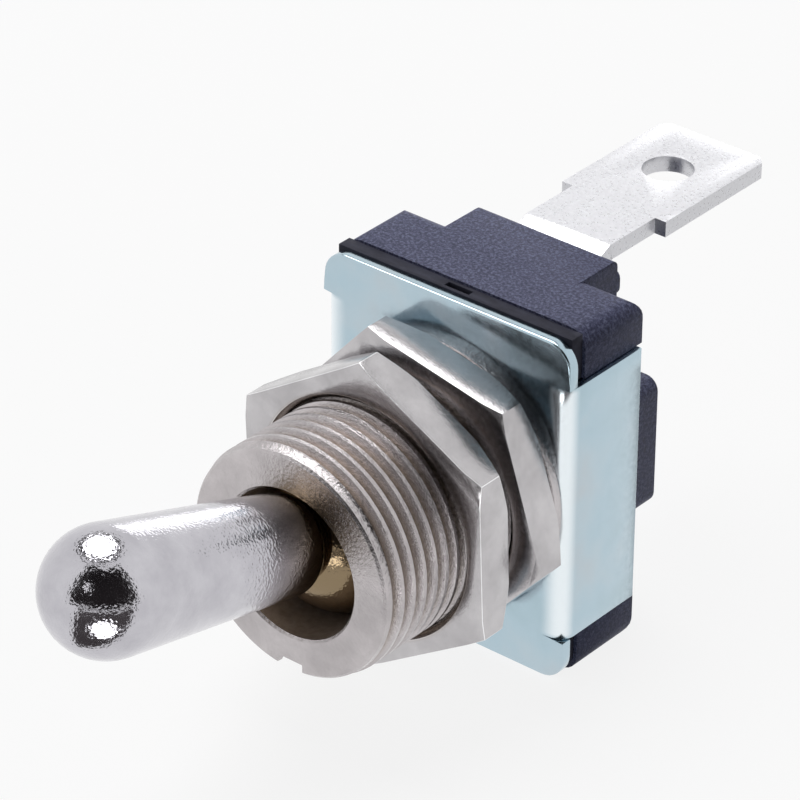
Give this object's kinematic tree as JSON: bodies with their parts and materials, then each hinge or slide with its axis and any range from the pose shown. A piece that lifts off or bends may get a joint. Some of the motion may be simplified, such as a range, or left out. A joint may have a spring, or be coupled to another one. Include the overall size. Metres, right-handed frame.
{
  "type": "panel toggle switch",
  "caption": "Panel toggle switch with a threaded bushing, hex nuts, a tilting bat lever, a sheet bracket around a moulded case, and a blade terminal at the rear.",
  "frame": {"origin": "the bushing's axis at the front face of the bracket's plate, where the panel hardware seats", "axes": "-Y along the bushing axis towards the lever, +Z towards the lever's upper throw, +X across the case"},
  "size_m": [0.016, 0.0475, 0.0188],
  "materials": {
    "zinc_plate": "zinc plated sheet, pale blue sheen",
    "sheet_board": "dark insulating board",
    "moulding": "dark blue-grey moulding, fine matt grain",
    "nickel_cast": "nickel plated, satin",
    "nickel_nut": "nickel plated, satin",
    "lever_chrome": "polished plating",
    "steel": "bright steel",
    "bare_brass": "bare brass",
    "contact_silver": "silver faced contact",
    "tinned_brass": "matt tin plated"
  },
  "bodies": {
    "switch": {"bracket": "zinc_plate", "insulator": "sheet_board", "case": "moulding", "bushing": "nickel_cast", "pin_retainer": "bare_brass", "fixed_contact": "contact_silver", "upper_terminal": "tinned_brass", "lower_terminal": "tinned_brass", "cradle": "bare_brass"},
    "lever": {"lever": "lever_chrome", "pivot_pin": "steel", "plunger_spring": "steel"},
    "plunger": {"plunger": "steel"},
    "rocker": {"rocker": "bare_brass", "moving_contact": "contact_silver"},
    "front_nut": {"front_nut": "nickel_nut"},
    "rear_nut": {"rear_nut": "nickel_nut"}
  },
  "joints": [
    {"name": "lever_throw", "type": "hinge", "parent": "switch", "child": "lever", "pos_m": [0, -0.007, 0], "axis": [1, 0, 0], "range_deg": [0, 32]},
    {"name": "plunger_slide", "type": "slide", "parent": "lever", "child": "plunger", "axis": [0, -0.9613, 0.2756], "range_m": [0, 0.0003], "stiffness_N_per_m": 400, "springref_m": -0.002, "deforming": ["plunger_spring"]},
    {"name": "rocker_tilt", "type": "hinge", "parent": "switch", "child": "rocker", "pos_m": [0, 0.00495, 0], "axis": [1, 0, 0], "range_deg": [-16, 0]},
    {"name": "front_nut_turn", "type": "hinge", "parent": "switch", "child": "front_nut", "pos_m": [0, -0.0049, 0], "axis": [0, -1, 0], "continuous": true},
    {"name": "rear_nut_turn", "type": "hinge", "parent": "switch", "child": "rear_nut", "pos_m": [0, -0.0016, 0], "axis": [0, -1, 0], "continuous": true}
  ],
  "couplings": [
    {"joint": "rocker_tilt", "follows": "lever_throw", "ratio": -0.5}
  ]
}
